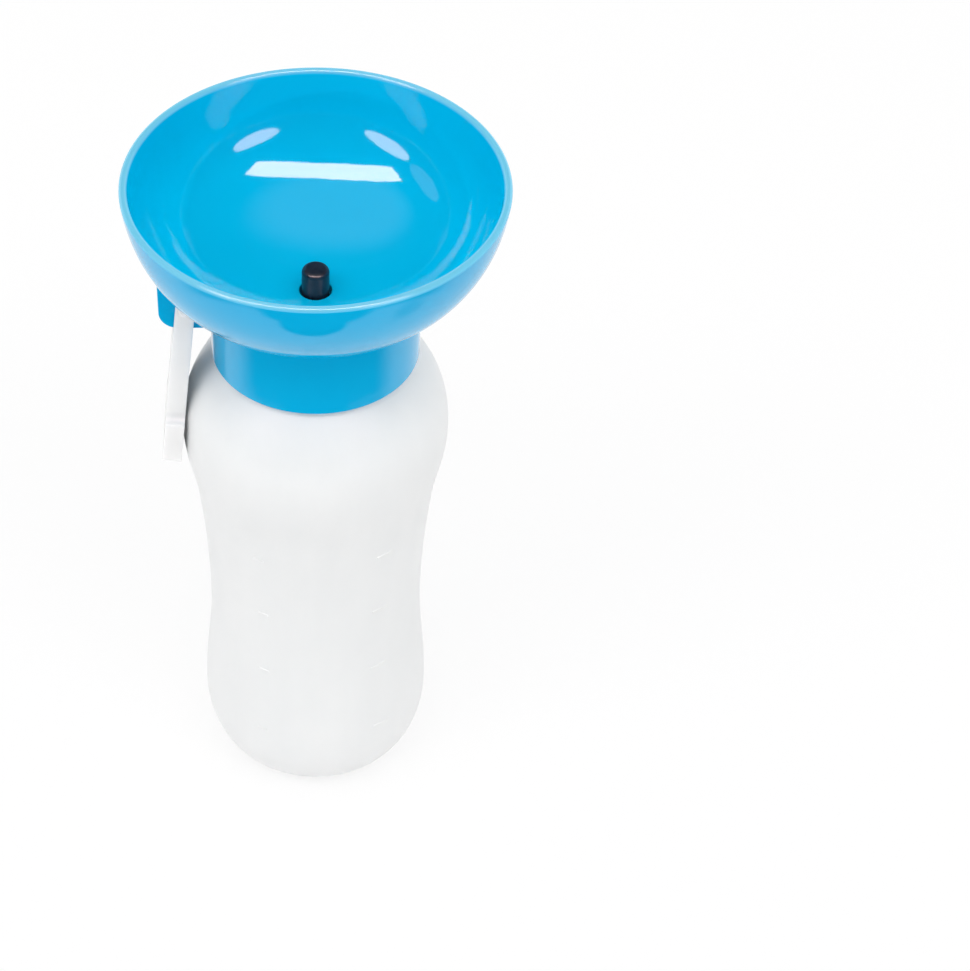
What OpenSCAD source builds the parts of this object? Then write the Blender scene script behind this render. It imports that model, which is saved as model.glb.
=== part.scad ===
// Dog travel water bottle: a squeeze bottle whose screw cap is a drinking bowl.
// Millimetres, +Z up. The origin is the centre of the bottle's flat base,
// the belt clip hangs on the -X side and the graduation marks face -Y.

/* [Bottle] */
// Height of the bottle's body, from the table to the root of its neck
body_h = 161; // [156:0.5:175]
// Diameter of the flat foot ring
foot_d = 44; // [36:1:52]
// Diameter of the lower bulge
bulge_d = 69; // [64:0.5:74]
// Height of the lower bulge
bulge_z = 22.6; // [16:0.2:30]
// Diameter of the waist, where the hand squeezes
waist_d = 64.8; // [56:0.2:68]
// Height of the waist
waist_z = 58.7; // [45:0.5:75]
// Diameter half way up the flare above the waist
flare_d = 71.6; // [69:0.2:74]
// Height of that point of the flare
flare_z = 108; // [100:0.5:114]
// Largest diameter of the shoulder
shoulder_d = 78.8; // [76:0.1:79]
// Height of the shoulder's largest diameter
shoulder_z = 129.4; // [124:0.2:133]
// Wall of the blown bottle
bottle_wall = 1.3; // [0.8:0.1:2]
// Depth of the hollow under the base
base_hollow = 1.6; // [0.5:0.1:3]

/* [Neck and thread] */
// Outer diameter of the neck between its threads
neck_d = 50; // [48:0.2:51]
// Wall of the neck
neck_wall = 2.4; // [1.8:0.1:3]
// Height of the neck
neck_h = 17; // [15:0.5:20]
// Height that the thread climbs in one turn
thread_pitch = 5; // [4.5:0.1:6]
// Turns of thread on the neck and in the cap
thread_turns = 1.25; // [1:0.05:1.4]
// How far the thread stands out from its wall
thread_depth = 1.7; // [1.4:0.1:1.8]
// Width of the thread at its root
thread_root_w = 2.2; // [1.8:0.1:2.3]
// Width of the thread at its crest
thread_crest_w = 1.2; // [0.8:0.1:1.5]
// Gap between the flanks that press on each other when the cap is tight
thread_gap = 0.3; // [0.2:0.05:0.4]
// Thickness of the sealing ring on the neck
gasket_t = 2; // [1.5:0.1:3]

/* [Bowl cap] */
// Diameter over the bowl's rim
bowl_d = 110.2; // [104:0.2:118]
// Outer depth of the bowl below its rim
bowl_h = 39.8; // [37:0.2:44]
// Depth over which the bowl's side falls steeply
side_drop = 27.6; // [24:0.2:31]
// How far the side draws in over that depth
side_in = 3.4; // [2:0.1:5]
// How far the bowl's flat bottom pulls outwards
floor_run = 31.6; // [28:0.2:34]
// Wall of the bowl
bowl_wall = 2.3; // [1.8:0.1:2.8]
// Outer diameter of the skirt that screws on the neck
skirt_d = 60.7; // [59:0.1:63]
// Gap between the neck's thread and the bore of the skirt
skirt_gap = 0.7; // [0.5:0.1:1]
// Length of the skirt below the sealing face
skirt_h = 21.4; // [20.5:0.1:22]
// Height of the sealing face above the underside of the bowl's centre
land_rise = 2.7; // [2.4:0.1:3.5]

/* [Valve] */
// Diameter of the valve's knob
knob_d = 8; // [7:0.1:9]
// Height of the open knob above the bowl's floor
knob_h = 8; // [6:0.1:10]
// Gap round the knob, where the water comes out
outlet_gap = 0.7; // [0.5:0.05:1]
// How far the knob is pushed down to close the valve
valve_travel = 4; // [3:0.1:4.5]
// Bore of the valve's chamber
chamber_d = 11; // [10.6:0.1:12]
// Wall of the valve body
valve_wall = 1.2; // [1:0.1:1.6]
// Diameter over the plunger's sealing ring
o_ring_d = 8.4; // [8:0.1:8.8]
// Thickness of the sealing ring's cord
o_ring_cord = 1.6; // [1.4:0.1:1.8]
// Sliding clearance on each side of the plunger
slide_gap = 0.08; // [0.05:0.01:0.1]
// Outer diameter of the dip tube
tube_d = 8; // [7:0.1:9]
// Wall of the dip tube
tube_wall = 1; // [0.8:0.1:1.2]
// Height of the dip tube's lowest point above the bottle's inner floor
tube_clear = 4; // [2:0.5:12]

/* [Belt clip] */
// Distance of the clip's pin from the bottle's axis
pin_x = 37.2; // [36.6:0.1:38.5]
// Distance of the pin above the lower end of the skirt
pin_rise = 21.4; // [20:0.1:23]
// Diameter of the pin
pin_d = 2.6; // [2.2:0.1:3]
// Angle at which the clip leans out from the bottle's axis
clip_lean = 5.4; // [5.2:0.1:8]
// Length of the clip below its pin
clip_l = 56.2; // [52:0.2:64]
// Width of the clip's strip
clip_w = 20; // [18:0.5:24]
// Depth of the clip's side walls
clip_depth = 5.6; // [5:0.1:6]
// Thickness of the clip's walls
clip_wall = 2; // [1.4:0.1:2.2]
// Width of the thumb piece at the clip's lower end
thumb_w = 26; // [25:0.5:30]
// Height of the thumb piece
thumb_h = 14.8; // [12:0.2:18]
// Thickness of each of the two ears that hold the pin
ear_t = 3; // [2.4:0.1:3.6]
// Gap between an ear and the clip's arm
ear_gap = 0.3; // [0.25:0.05:0.6]
// How far the ears reach out past the pin
ear_reach = 8.1; // [7:0.1:8.6]
// How far the ears reach down below the pin
ear_drop = 8.4; // [7:0.1:9]
// Radius of the ears' lower outer corner
ear_corner = 5.5; // [3:0.1:6]

/* [Graduation] */
// Number of graduation marks up the right side
mark_count = 4; // [3:1:5]
// Height of the lowest mark
mark_z = 27; // [20:0.5:34]
// Distance from one mark to the next
mark_step = 24.5; // [18:0.5:26]
// How far the marks stand out of the wall
mark_proud = 0.35; // [0.2:0.05:0.6]

/* [Hidden] */
$fn = 96;

blue = [0.01, 0.69, 0.91];
milky = [0.90, 0.93, 0.94];
black = [0.07, 0.09, 0.13];
grey = [0.55, 0.57, 0.58];
white = [0.93, 0.94, 0.94];

// Heights that the parts share.
neck_top = body_h + neck_h;
land_z = neck_top + gasket_t;
skirt_z = land_z - skirt_h;
bowl_under_z = land_z - land_rise;
rim_z = bowl_under_z + bowl_h;
floor_z = bowl_under_z + bowl_wall;

// Radii that the parts share. The sealing face reaches inwards past the neck.
land_inset = 1.5;
neck_r = neck_d / 2;
neck_bore_r = neck_r - neck_wall;
thread_r = neck_r + thread_depth;
skirt_r = skirt_d / 2;
skirt_bore_r = thread_r + skirt_gap;
land_in_r = neck_bore_r - land_inset;
chamber_r = chamber_d / 2;
outlet_r = knob_d / 2 + outlet_gap;

// Cubic Bezier curve and its direction.
function bezier(p, t) = pow(1 - t, 3) * p[0] + 3 * t * pow(1 - t, 2) * p[1]
    + 3 * t * t * (1 - t) * p[2] + pow(t, 3) * p[3];
function bezier_dir(p, t) = 3 * pow(1 - t, 2) * (p[1] - p[0])
    + 6 * t * (1 - t) * (p[2] - p[1]) + 3 * t * t * (p[3] - p[2]);

// Radius between two stations [height, radius, slope], by a cubic.
function between(a, b, z) = let (h = b[0] - a[0], t = (z - a[0]) / h)
    (2 * pow(t, 3) - 3 * t * t + 1) * a[1] + (pow(t, 3) - 2 * t * t + t) * h * a[2]
    + (3 * t * t - 2 * pow(t, 3)) * b[1] + (pow(t, 3) - t * t) * h * b[2];

// Points on a quarter or longer arc in the plane, from one angle to another.
function arc(c, r, from, to, steps) =
    [for (i = [0:steps]) let (a = from + (to - from) * i / steps) c + r * [cos(a), sin(a)]];

// ---------------------------------------------------------------- bottle

// The outline's stations: height, radius and how fast the radius changes.
shoulder_end_drop = 2.5;
shoulder_end_out = 1.9;
shoulder_end_slope = -1.07;
flare_slope = 0.14;
stations = [[bulge_z, bulge_d / 2, 0], [waist_z, waist_d / 2, 0],
            [flare_z, flare_d / 2, flare_slope], [shoulder_z, shoulder_d / 2, 0],
            [body_h - shoulder_end_drop, neck_r + shoulder_end_out, shoulder_end_slope]];
outline_steps = 10;
heel_steps = 8;

function body_r(z) = let (i = z <= waist_z ? 0 : z <= flare_z ? 1 : z <= shoulder_z ? 2 : 3)
    between(stations[i], stations[i + 1], z);

// Outer outline from the foot to the neck's root, set in by a wall.
function body_outline(wall) = let (foot_r = foot_d / 2, heel = bulge_d / 2 - foot_r) concat(
    [for (i = [0:heel_steps - 1]) let (a = 90 * i / heel_steps)
        [foot_r - wall + heel * sin(a), bulge_z - (bulge_z - wall) * cos(a)]],
    [for (s = [0:3]) for (i = [0:outline_steps - 1])
        let (z = stations[s][0] + (stations[s + 1][0] - stations[s][0]) * i / outline_steps)
            [body_r(z) - wall, z]]);

module bottle_shell() {
    neck_edge = 0.5;
    ring_w = 4;
    hollow_run = 3;
    hollow_r = foot_d / 2 - ring_w - hollow_run;
    top = stations[4];
    outside = concat([[0, base_hollow], [hollow_r, base_hollow], [hollow_r + hollow_run, 0]],
        body_outline(0), [[top[1], top[0]], [neck_r, body_h], [neck_r, neck_top - neck_edge],
        [neck_r - neck_edge, neck_top]]);
    inside = concat([[0, base_hollow + bottle_wall], [hollow_r, base_hollow + bottle_wall],
        [hollow_r + hollow_run, bottle_wall]], body_outline(bottle_wall),
        [[top[1] - bottle_wall, top[0] - bottle_wall], [neck_bore_r, body_h - bottle_wall],
        [neck_bore_r, neck_top]]);
    rotate_extrude() polygon(concat(outside, [for (i = [len(inside) - 1:-1:0]) inside[i]]));
}

// Raised strokes up the right of the front, and shorter ones up the left.
module graduation() {
    stroke_t = 0.9;
    sunk = 0.7;
    long_stroke = 5.5;
    short_stroke = 3.6;
    right_turn = 36;
    left_turn = -29;
    for (i = [0:mark_count - 1]) let (z = mark_z + i * mark_step) {
        rotate([0, 0, right_turn]) translate([-long_stroke / 2, -body_r(z) - mark_proud, z])
            cube([long_stroke, mark_proud + sunk, stroke_t]);
        rotate([0, 0, left_turn]) translate([-short_stroke / 2, -body_r(z) - mark_proud, z])
            cube([short_stroke, mark_proud + sunk, stroke_t]);
    }
}

// A helical ridge that fades in and out at its ends. It stands out of a wall
// of radius root_r to crest_r, and is let into that wall by sunk.
module thread_ridge(root_r, crest_r, start_z) {
    steps_per_turn = 36;
    fade = 40;
    sunk = 0.6;
    steps = round(thread_turns * steps_per_turn);
    out = sign(crest_r - root_r);
    back_r = root_r - out * sunk;
    function height(a) = min(1, a / fade, (thread_turns * 360 - a) / fade);
    points = [for (i = [0:steps]) let (a = thread_turns * 360 * i / steps,
            z = start_z + thread_pitch * a / 360, k = max(0.04, height(a)),
            r = root_r + (crest_r - root_r) * k,
            w = thread_root_w + (thread_crest_w - thread_root_w) * k)
        for (p = [[back_r, -thread_root_w / 2], [r, -w / 2], [r, w / 2], [back_r, thread_root_w / 2]])
            [p[0] * cos(a), p[0] * sin(a), z + p[1]]];
    sides = [for (i = [0:steps - 1]) for (j = [0:3])
        let (a = 4 * i + j, b = 4 * i + (j + 1) % 4) each [[a, b, b + 4], [a, b + 4, a + 4]]];
    last = 4 * steps;
    caps = [[2, 1, 0], [3, 2, 0], [last, last + 1, last + 2], [last, last + 2, last + 3]];
    faces = concat(sides, caps);
    polyhedron(points, out > 0 ? faces : [for (f = faces) [f[2], f[1], f[0]]]);
}

thread_above_root = 4;
neck_thread_z = body_h + thread_above_root;

module bottle() color(milky) {
    bottle_shell();
    graduation();
    thread_ridge(neck_r, thread_r, neck_thread_z);
}

// ---------------------------------------------------------------- bowl cap

// The bowl's outer curve runs from the rim to the centre of its underside.
bowl_curve = [[bowl_d / 2, rim_z], [bowl_d / 2 - side_in, rim_z - side_drop],
              [floor_run, bowl_under_z], [0, bowl_under_z]];
bowl_steps = 28;
outer_curve = [for (i = [0:bowl_steps]) bezier(bowl_curve, i / bowl_steps)];
inner_curve = [for (i = [0:bowl_steps]) let (t = i / bowl_steps, d = bezier_dir(bowl_curve, t))
    outer_curve[i] + bowl_wall * [d[1], -d[0]] / norm(d)];
function under_z(r) = lookup(r, [for (i = [bowl_steps:-1:0]) outer_curve[i]]);
function inside_z(r) = lookup(r, [for (i = [bowl_steps:-1:0]) inner_curve[i]]);

// The valve's seat in the bowl's floor: a sleeve below the floor.
socket_r = chamber_r + valve_wall;
socket_wall = 2;
outlet_l = 3.6;
socket_l = 12;
socket_top = floor_z - outlet_l;
socket_z = floor_z - socket_l;

pin_z = skirt_z + pin_rise;
ear_out = pin_x + ear_reach;
arm_in_y = clip_w / 2 - clip_wall;
ear_out_y = arm_in_y - ear_gap;

// The turned shape of the bowl, its skirt and the valve's sleeve, in one outline.
module bowl_turned() {
    lip = arc((outer_curve[0] + inner_curve[0]) / 2, bowl_wall / 2, 0, 180, 8);
    edge = 0.4;
    rotate_extrude() polygon(concat(
        [[outlet_r, inside_z(outlet_r)]],
        [for (i = [bowl_steps:-1:1]) if (inner_curve[i][0] > outlet_r) inner_curve[i]],
        [for (i = [len(lip) - 1:-1:0]) lip[i]],
        [for (i = [1:bowl_steps]) if (outer_curve[i][0] > skirt_r) outer_curve[i]],
        [[skirt_r, under_z(skirt_r)], [skirt_r, skirt_z + edge], [skirt_r - edge, skirt_z],
         [skirt_bore_r + edge, skirt_z], [skirt_bore_r, skirt_z + edge],
         [skirt_bore_r, land_z], [land_in_r, land_z], [land_in_r, under_z(land_in_r)]],
        [for (i = [1:bowl_steps])
            if (outer_curve[i][0] < land_in_r && outer_curve[i][0] > socket_r + socket_wall)
                outer_curve[i]],
        [[socket_r + socket_wall, under_z(socket_r + socket_wall)],
         [socket_r + socket_wall, socket_z], [socket_r, socket_z],
         [socket_r, socket_top], [outlet_r, socket_top]]));
}

// One ear: a plate from the skirt to the underside of the bowl, with the pin's hole.
module ear() {
    bite = 1.3;
    draft = 0.3;
    root_x = skirt_r - 2.2;
    foot_z = pin_z - ear_drop;
    cut = 1;
    top = [for (i = [0:8]) let (x = root_x + (ear_out - root_x) * i / 8) [x, under_z(x) + bite]];
    corner = arc([ear_out - draft - ear_corner, foot_z + ear_corner], ear_corner, 0, -90, 6);
    difference() {
        rotate([90, 0, 180]) linear_extrude(ear_t) polygon(concat(top, corner, [[root_x, foot_z]]));
        translate([-pin_x, -cut, pin_z]) rotate([-90, 0, 0])
            cylinder(d = pin_d + 2 * pin_fit, h = ear_t + 2 * cut);
    }
}

// The pin is tight in the ears and turns easily in the clip's arms.
pin_fit = 0.02;
arm_fit = 0.1;

module bowl_cap() color(blue) {
    bowl_turned();
    for (y = [ear_out_y - ear_t, -ear_out_y]) translate([0, y, 0]) ear();
    thread_ridge(skirt_bore_r, neck_r + thread_root_gap, cap_thread_z);
}

// The cap's thread lies under the neck's thread and clears the neck by this much.
thread_root_gap = 0.5;
flank_w = (thread_root_w + thread_crest_w) / 2;
cap_thread_z = neck_thread_z - flank_w - thread_gap;

module neck_gasket() color(grey) {
    inset = 0.4;
    cut = 1;
    translate([0, 0, neck_top]) difference() {
        cylinder(r = skirt_bore_r - inset, h = gasket_t);
        translate([0, 0, -cut]) cylinder(r = neck_bore_r - inset, h = gasket_t + 2 * cut);
    }
}

// ---------------------------------------------------------------- valve

// Heights of the valve, from its flange on the sleeve's end downwards.
flange_t = 1.5;
press_gap = 0.03;
ring_drop = 3;
lead = 1.2;
ring_clear = 0.5;
groove_w = o_ring_cord + 0.3;
foot_t = 0.8;
foot_h = groove_w + 2 * foot_t;
seat_r = o_ring_d / 2 + slide_gap;
ring_z = socket_z - ring_drop;
seat_top = ring_z - foot_h / 2 - lead - ring_clear / 2;
seat_z = seat_top + lead - valve_travel - foot_h / 2;
seat_floor_t = 1.5;
nipple_l = 11;
nipple_wall = 1;
nipple_r = tube_d / 2 - tube_wall - press_gap;
nipple_z = seat_z - seat_floor_t;

module valve_body() color(black) {
    top_gap = 0.2;
    top = socket_top - top_gap;
    shell_r = socket_r - press_gap;
    seat_wall_r = seat_r + valve_wall;
    rotate_extrude() polygon([
        [chamber_r, top], [shell_r, top], [shell_r, socket_z], [socket_r + socket_wall, socket_z],
        [socket_r + socket_wall, socket_z - flange_t], [shell_r, socket_z - flange_t],
        [shell_r, seat_top], [seat_wall_r, seat_top - lead], [seat_wall_r, nipple_z],
        [nipple_r, nipple_z], [nipple_r, nipple_z - nipple_l],
        [nipple_r - nipple_wall, nipple_z - nipple_l], [nipple_r - nipple_wall, seat_z],
        [seat_r, seat_z], [seat_r, seat_top], [chamber_r, seat_top + lead]]);
}

// The knob, its slotted stop flange, the stem and the foot that carries the ring.
module valve_plunger() color(black) {
    knob_r = knob_d / 2;
    knob_top = floor_z + knob_h;
    edge = 1;
    stop_r = chamber_r - slide_gap;
    stop_top = socket_top - 0.4;
    stop_t = 1.6;
    stem_r = 2.5;
    foot_r = o_ring_d / 2 - 0.5;
    groove_r = o_ring_d / 2 - o_ring_cord;
    slot_w = 2.4;
    slot_in = 0.6;
    cone_h = 1;
    difference() {
        rotate_extrude() polygon(concat([[0, knob_top]],
            arc([knob_r - edge, knob_top - edge], edge, 90, 0, 6),
            [[knob_r, stop_top], [stop_r, stop_top], [stop_r, stop_top - stop_t],
             [stem_r, stop_top - stop_t - cone_h], [stem_r, ring_z + foot_h / 2 + cone_h],
             [foot_r, ring_z + foot_h / 2], [foot_r, ring_z + groove_w / 2],
             [groove_r, ring_z + groove_w / 2], [groove_r, ring_z - groove_w / 2],
             [foot_r, ring_z - groove_w / 2], [foot_r, ring_z - foot_h / 2],
             [0, ring_z - foot_h / 2]]));
        for (a = [0:120:240]) rotate([0, 0, a])
            translate([stem_r + slot_in, -slot_w / 2, stop_top - stop_t - cone_h])
                cube([stop_r, slot_w, stop_t + 2 * cone_h]);
    }
}

module plunger_o_ring() color(grey) {
    skin = 0.02;
    translate([0, 0, ring_z]) rotate_extrude()
        translate([(o_ring_d - o_ring_cord) / 2, 0]) circle(d = o_ring_cord - skin);
}

module dip_tube() color(milky) {
    end_gap = 0.3;
    cut = 1;
    top = nipple_z - end_gap;
    low = base_hollow + bottle_wall + tube_clear;
    slash = 30;
    translate([0, 0, low]) difference() {
        cylinder(d = tube_d, h = top - low);
        translate([0, 0, -cut]) cylinder(d = tube_d - 2 * tube_wall, h = top - low + 2 * cut);
        translate([-tube_d / 2, 0, 0]) rotate([0, -slash, 0]) translate([-tube_d, -tube_d, -2 * tube_d])
            cube([4 * tube_d, 2 * tube_d, 2 * tube_d]);
    }
}

// ---------------------------------------------------------------- belt clip

// Front outline of the clip: a straight strip, then a hollow curve out to the thumb piece.
module clip_front(inset) {
    half = clip_w / 2 - inset;
    thumb = thumb_w / 2 - inset;
    curve = thumb - half;
    corner = 1.5;
    thumb_top = -clip_l + thumb_h - inset;
    low = -clip_l + inset;
    right = concat([[half, clip_depth], [half, thumb_top + curve]],
        arc([half + curve, thumb_top + curve], curve, 180, 270, 6),
        arc([thumb - corner, low + corner], corner, 0, -90, 4));
    polygon(concat(right, [for (i = [len(right) - 1:-1:0]) [-right[i][0], right[i][1]]]));
}

// The clip hanging straight down from its pin at the origin.
module clip_upright() {
    half_depth = clip_depth / 2;
    fork_gap = 2.6;
    fork_z = -ear_reach - fork_gap;
    end_r = 1;
    difference() {
        intersection() {
            translate([-half_depth, 0, 0]) rotate([90, 0, 90])
                linear_extrude(clip_depth) clip_front(0);
            rotate([90, 0, 0]) translate([0, 0, -thumb_w]) linear_extrude(2 * thumb_w)
                polygon(concat(arc([0, 0], half_depth, 0, 180, 16),
                    arc([-half_depth + end_r, -clip_l + end_r], end_r, 180, 270, 4),
                    arc([half_depth - end_r, -clip_l + end_r], end_r, 270, 360, 4)));
        }
        translate([-half_depth + clip_wall, 0, 0]) rotate([90, 0, 90])
            linear_extrude(clip_depth) clip_front(clip_wall);
        translate([-clip_depth, -arm_in_y, fork_z])
            cube([2 * clip_depth, 2 * arm_in_y, 2 * clip_depth - fork_z]);
        rotate([90, 0, 0]) cylinder(d = pin_d + 2 * arm_fit, h = 2 * clip_w, center = true);
    }
}

module belt_clip() color(white) {
    translate([-pin_x, 0, pin_z]) rotate([0, clip_lean, 0]) clip_upright();
}

module clip_pin() color(white) {
    head_r = pin_d / 2 + 0.7;
    head_t = 0.8;
    head_gap = 0.2;
    reach = clip_w / 2 + head_gap;
    translate([-pin_x, 0, pin_z]) rotate([90, 0, 0]) {
        cylinder(d = pin_d, h = 2 * reach, center = true);
        for (side = [-1, 1]) translate([0, 0, side * (reach + head_t / 2)])
            cylinder(r = head_r, h = head_t, center = true);
    }
}

bottle();
bowl_cap();
neck_gasket();
valve_body();
valve_plunger();
plunger_o_ring();
dip_tube();
belt_clip();
clip_pin();
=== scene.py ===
"""A dog travel water bottle: a milky squeeze bottle, a blue bowl that screws on as its cap,
a push valve and a belt clip."""

import math

import bmesh
import bpy
from mathutils import Matrix, Vector


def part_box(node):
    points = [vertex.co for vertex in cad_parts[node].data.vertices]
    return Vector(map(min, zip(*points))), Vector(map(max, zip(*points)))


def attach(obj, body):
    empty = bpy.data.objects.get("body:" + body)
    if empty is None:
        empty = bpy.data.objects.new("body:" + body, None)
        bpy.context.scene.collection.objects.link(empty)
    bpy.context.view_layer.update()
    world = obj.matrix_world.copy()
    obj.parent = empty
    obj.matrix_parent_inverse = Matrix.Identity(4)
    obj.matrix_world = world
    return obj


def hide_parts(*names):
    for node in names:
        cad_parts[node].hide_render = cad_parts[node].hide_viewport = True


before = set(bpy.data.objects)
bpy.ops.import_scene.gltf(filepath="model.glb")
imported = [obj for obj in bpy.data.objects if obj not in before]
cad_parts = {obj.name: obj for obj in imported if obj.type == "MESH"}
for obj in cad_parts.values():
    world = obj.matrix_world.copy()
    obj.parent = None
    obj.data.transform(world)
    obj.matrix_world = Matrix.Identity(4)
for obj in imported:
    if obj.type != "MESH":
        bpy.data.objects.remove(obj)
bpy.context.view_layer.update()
MM = 0.001


# ---------------------------------------------------------------- squeeze bottle
# The bottle is blown from milky polyethylene in one piece. It has a rounded heel, a waist
# for the hand, a full shoulder and a neck with a thread that the bowl screws on.

bottle_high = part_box("bottle")[1] / MM
shoulder_r = bottle_high.x
neck_top = bottle_high.z
neck_root = neck_top - 17
bottle_wall = 1.3
foot_r = 22
foot_ring_r = 18
hollow_r = 15
hollow_h = 1.6
neck_r = 25
neck_bore_r = 22.6
neck_edge = 0.5
# Height, radius and how fast the radius changes with height.
BULGE = (22.6, 34.5, 0)
WAIST = (58.7, 32.4, 0)
FLARE = (108, 35.8, 0.14)
SHOULDER = (129.4, shoulder_r, 0)
SHOULDER_END = (neck_root - 2.5, neck_r + 1.9, -1.07)

TURN_STEPS = 144
CURVE_STEPS = 20
JOIN = 1e-5


def node(material, kind, inputs=None, **settings):
    """Adds a shader node. An input is a number, a colour or another node's output."""
    made = material.node_tree.nodes.new(kind)
    for name, value in settings.items():
        setattr(made, name, value)
    for name, value in (inputs or {}).items():
        if isinstance(value, bpy.types.NodeSocket):
            material.node_tree.links.new(value, made.inputs[name])
        else:
            made.inputs[name].default_value = value
    return made


def ramp(material, value, *stops):
    """A colour ramp over a value, with stops (place, colour)."""
    made = node(material, "ShaderNodeValToRGB", {"Fac": value})
    steps = made.color_ramp.elements
    while len(steps) < len(stops):
        steps.new(1)
    for step, (place, colour) in zip(steps, stops):
        step.position = place
        step.color = (*colour, 1)
    return made.outputs["Color"]


def spread(material, value, low, high):
    """Stretches a value between 0 and 1 to lie between low and high."""
    made = node(material, "ShaderNodeMapRange", {"Value": value, "To Min": low, "To Max": high})
    return made.outputs["Result"]


def noise(material, place, scale, detail=2.0):
    """Soft noise with features of about a metre over scale."""
    made = node(material, "ShaderNodeTexNoise", {"Vector": place, "Scale": scale, "Detail": detail})
    return made.outputs["Fac"]


def bump(material, height, depth, before=None):
    """Raises the surface by a height between 0 and 1 times a depth in metres."""
    made = node(material, "ShaderNodeBump", {"Height": height, "Strength": 1.0, "Distance": depth})
    if before:
        material.node_tree.links.new(before, made.inputs["Normal"])
    return made.outputs["Normal"]


def new_material(name, **values):
    """A material with a Principled shader, its Object coordinates and the shader's own values set."""
    material = bpy.data.materials.new(name)
    material.use_nodes = True
    shader = material.node_tree.nodes["Principled BSDF"]
    for socket, value in values.items():
        shader.inputs[socket.replace("_", " ")].default_value = value
    place = node(material, "ShaderNodeTexCoord").outputs["Object"]
    return material, shader, place


def wire(material, shader, **outputs):
    """Links outputs to the shader's sockets."""
    for socket, output in outputs.items():
        material.node_tree.links.new(output, shader.inputs[socket.replace("_", " ")])


def arc(centre, radii, start, end):
    """A curve [from, pull, pull, to] along an ellipse, through at most a right angle."""
    reach = 4 / 3 * math.tan(math.radians(end - start) / 4)
    ends = []
    for angle, way in ((math.radians(start), reach), (math.radians(end), -reach)):
        x = centre[0] + radii[0] * math.cos(angle)
        y = centre[1] + radii[1] * math.sin(angle)
        pull = (x - way * radii[0] * math.sin(angle), y + way * radii[1] * math.cos(angle))
        ends.append(((x, y), pull))
    return [ends[0][0], ends[0][1], ends[1][1], ends[1][0]]


def flowing(low, high):
    """A smooth curve between two stations (height, radius, slope)."""
    third = (high[0] - low[0]) / 3
    return [(low[1], low[0]), (low[1] + low[2] * third, low[0] + third),
            (high[1] - high[2] * third, high[0] - third), (high[1], high[0])]


def inside_of(curve, wall):
    """The same curve set in by a wall, and run the other way."""
    return [(radius - wall, height) for radius, height in reversed(curve)]


def drawn(name, outline, closed=False):
    """A flat Bezier curve through points (x, y) and curves [from, pull, pull, to], in millimetres."""
    knots = []
    for item in outline:
        if len(item) == 2:
            knots.append([item, None, None])
            continue
        start, pull_out, pull_in, end = item
        if knots and math.dist(knots[-1][0], start) < JOIN:
            knots[-1][2] = pull_out
        else:
            knots.append([start, None, pull_out])
        knots.append([end, pull_in, None])
    bpy.ops.object.select_all(action="DESELECT")
    bpy.ops.curve.primitive_bezier_curve_add()
    curve = bpy.context.object
    curve.name = name
    curve.data.resolution_u = CURVE_STEPS
    spline = curve.data.splines[0]
    spline.bezier_points.add(len(knots) - len(spline.bezier_points))
    spline.use_cyclic_u = closed
    for point, (on, before, after) in zip(spline.bezier_points, knots):
        point.handle_left_type = "FREE" if before else "VECTOR"
        point.handle_right_type = "FREE" if after else "VECTOR"
        point.co = Vector((*on, 0)) * MM
        if before:
            point.handle_left = Vector((*before, 0)) * MM
        if after:
            point.handle_right = Vector((*after, 0)) * MM
    return curve


def stood(curve, turn=(90, 0, 0)):
    """Makes a drawn curve a mesh and turns it, which leaves the drawing's y pointing up."""
    bpy.ops.object.convert(target="MESH")
    made = bpy.context.object
    made.rotation_euler = [math.radians(angle) for angle in turn]
    bpy.ops.object.transform_apply(location=False, rotation=True, scale=False)
    return made


def turned(name, outline, closed=False):
    """A solid turned round the Z axis from an outline (radius, height)."""
    stood(drawn(name, outline, closed))
    bpy.ops.object.mode_set(mode="EDIT")
    bpy.ops.mesh.select_all(action="SELECT")
    bpy.ops.mesh.spin(steps=TURN_STEPS, angle=math.tau, center=(0, 0, 0), axis=(0, 0, 1))
    bpy.ops.mesh.select_all(action="SELECT")
    bpy.ops.mesh.remove_doubles(threshold=JOIN)
    bpy.ops.mesh.normals_make_consistent(inside=False)
    bpy.ops.object.mode_set(mode="OBJECT")
    return bpy.context.object


def soften(piece, rings, width):
    """Rounds off the sharp rings (radius, height) of a turned piece."""
    bpy.ops.object.mode_set(mode="EDIT")
    bpy.ops.mesh.select_mode(type="EDGE")
    bpy.ops.mesh.select_all(action="DESELECT")
    mesh = bmesh.from_edit_mesh(piece.data)
    for edge in mesh.edges:
        places = [(math.hypot(v.co.x, v.co.y) / MM, v.co.z / MM) for v in edge.verts]
        if any(all(math.dist(place, ring) < 0.02 for place in places) for ring in rings):
            edge.select_set(True)
    bmesh.update_edit_mesh(piece.data)
    bpy.ops.mesh.bevel(offset=width * MM, segments=3, affect="EDGES")
    bpy.ops.object.mode_set(mode="OBJECT")


def smooth(piece, angle=35):
    """Smooth shading, with sharp edges kept crisp and broad faces true beside their rounded edges."""
    bpy.ops.object.select_all(action="DESELECT")
    piece.select_set(True)
    bpy.context.view_layer.objects.active = piece
    bpy.ops.object.shade_smooth_by_angle(angle=math.radians(angle))
    level = piece.modifiers.new("level", "WEIGHTED_NORMAL")
    level.keep_sharp = True
    bpy.ops.object.modifier_apply(modifier="level")


def cut(piece, cutter, operation="DIFFERENCE"):
    """Cuts a piece with another or joins them, and the other is then gone."""
    tool = piece.modifiers.new("cut", "BOOLEAN")
    tool.operation = operation
    tool.solver = "EXACT"
    tool.object = cutter
    bpy.ops.object.select_all(action="DESELECT")
    piece.select_set(True)
    bpy.context.view_layer.objects.active = piece
    bpy.ops.object.modifier_apply(modifier="cut")
    bpy.data.objects.remove(cutter)


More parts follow.
